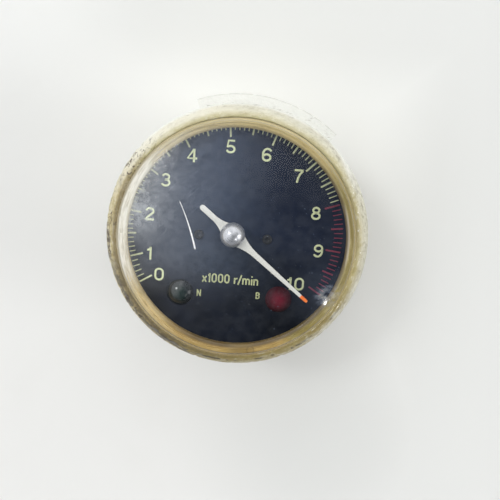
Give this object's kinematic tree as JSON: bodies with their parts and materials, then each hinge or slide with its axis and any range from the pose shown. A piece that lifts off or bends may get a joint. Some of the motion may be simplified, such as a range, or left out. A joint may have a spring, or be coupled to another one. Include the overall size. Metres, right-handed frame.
{
  "type": "motorcycle tachometer",
  "caption": "Round cable-driven motorcycle rev counter head with a domed lens, dark dial, pointer and warning lamp jewels in a cream flanged case.",
  "frame": {"origin": "midway between the two mounting studs, on the pointer's and cable neck's axis, in the plane of the case's back face", "axes": "+Z out of the dial towards the reader, +Y towards twelve o'clock, +X to the reader's right"},
  "size_m": [0.0866, 0.0898, 0.0627],
  "materials": {
    "aged_plastic": "yellowed cream moulding, satin",
    "clear_lens": "clear, polished, lightly hazed",
    "seal_rubber": "matt, perished",
    "tan_ring": "satin tan",
    "dial_paint": "satin dark navy",
    "scale_print": "matt pale yellow green print",
    "red_print": "matt dark red print",
    "black_screw": "satin black",
    "brass": "turned, slightly dull",
    "green_jewel": "clear dark green, polished",
    "red_jewel": "clear dark red, polished",
    "die_casting": "as cast",
    "plated_steel": "dull plating",
    "steel": "ground",
    "magnet_iron": "ground dark",
    "black_rubber": "matt",
    "bulb_glass": "clear",
    "aluminium": "spun, bright",
    "pointer_paint": "satin off-white with an orange tip",
    "bright_cap": "polished, slightly dull"
  },
  "bodies": {
    "gauge": {"case_cup": "aged_plastic", "lens": "clear_lens", "lens_seal": "seal_rubber", "reflector_ring": "tan_ring", "dial_plate": "dial_paint", "scale_marks": "scale_print", "redline_marks": "red_print", "dial_screws": "black_screw", "dial_pillars": "brass", "neutral_jewel": "green_jewel", "beam_jewel": "red_jewel", "movement_frame": "die_casting", "frame_gasket": "seal_rubber", "frame_screws": "plated_steel", "cable_neck": "plated_steel", "neck_bush": "brass", "thrust_washer": "steel", "field_ring": "steel", "bridge_plate": "brass", "bridge_screws": "plated_steel", "arbor_bush": "brass", "spring_stud": "brass", "stop_pins": "steel", "hairspring": "brass", "mounting_studs": "plated_steel", "neutral_boot": "black_rubber", "beam_boot": "black_rubber", "left_lamp_boot": "black_rubber", "right_lamp_boot": "black_rubber", "neutral_socket": "brass", "beam_socket": "brass", "left_lamp_socket": "brass", "right_lamp_socket": "brass", "neutral_bulb": "bulb_glass", "beam_bulb": "bulb_glass", "left_lamp_bulb": "bulb_glass", "right_lamp_bulb": "bulb_glass"},
    "drive": {"input_shaft": "steel", "shaft_clip": "steel", "magnet_hub": "brass", "magnet": "magnet_iron", "pivot_bush": "brass"},
    "indicator": {"arbor": "steel", "drag_cup": "aluminium", "cup_hub": "brass", "spring_collet": "brass", "stop_arm": "brass", "pointer_boss": "brass", "pointer": "pointer_paint", "pointer_cap": "bright_cap"}
  },
  "joints": [
    {"name": "pointer_turn", "type": "hinge", "parent": "gauge", "child": "indicator", "pos_m": [0, 0, 0.036], "axis": [0, 0, 1], "range_deg": [-2.8, 250.1], "deforming": ["hairspring"]},
    {"name": "input_spin", "type": "hinge", "parent": "gauge", "child": "drive", "pos_m": [0, 0, 0], "axis": [0, 0, 1], "continuous": true}
  ]
}
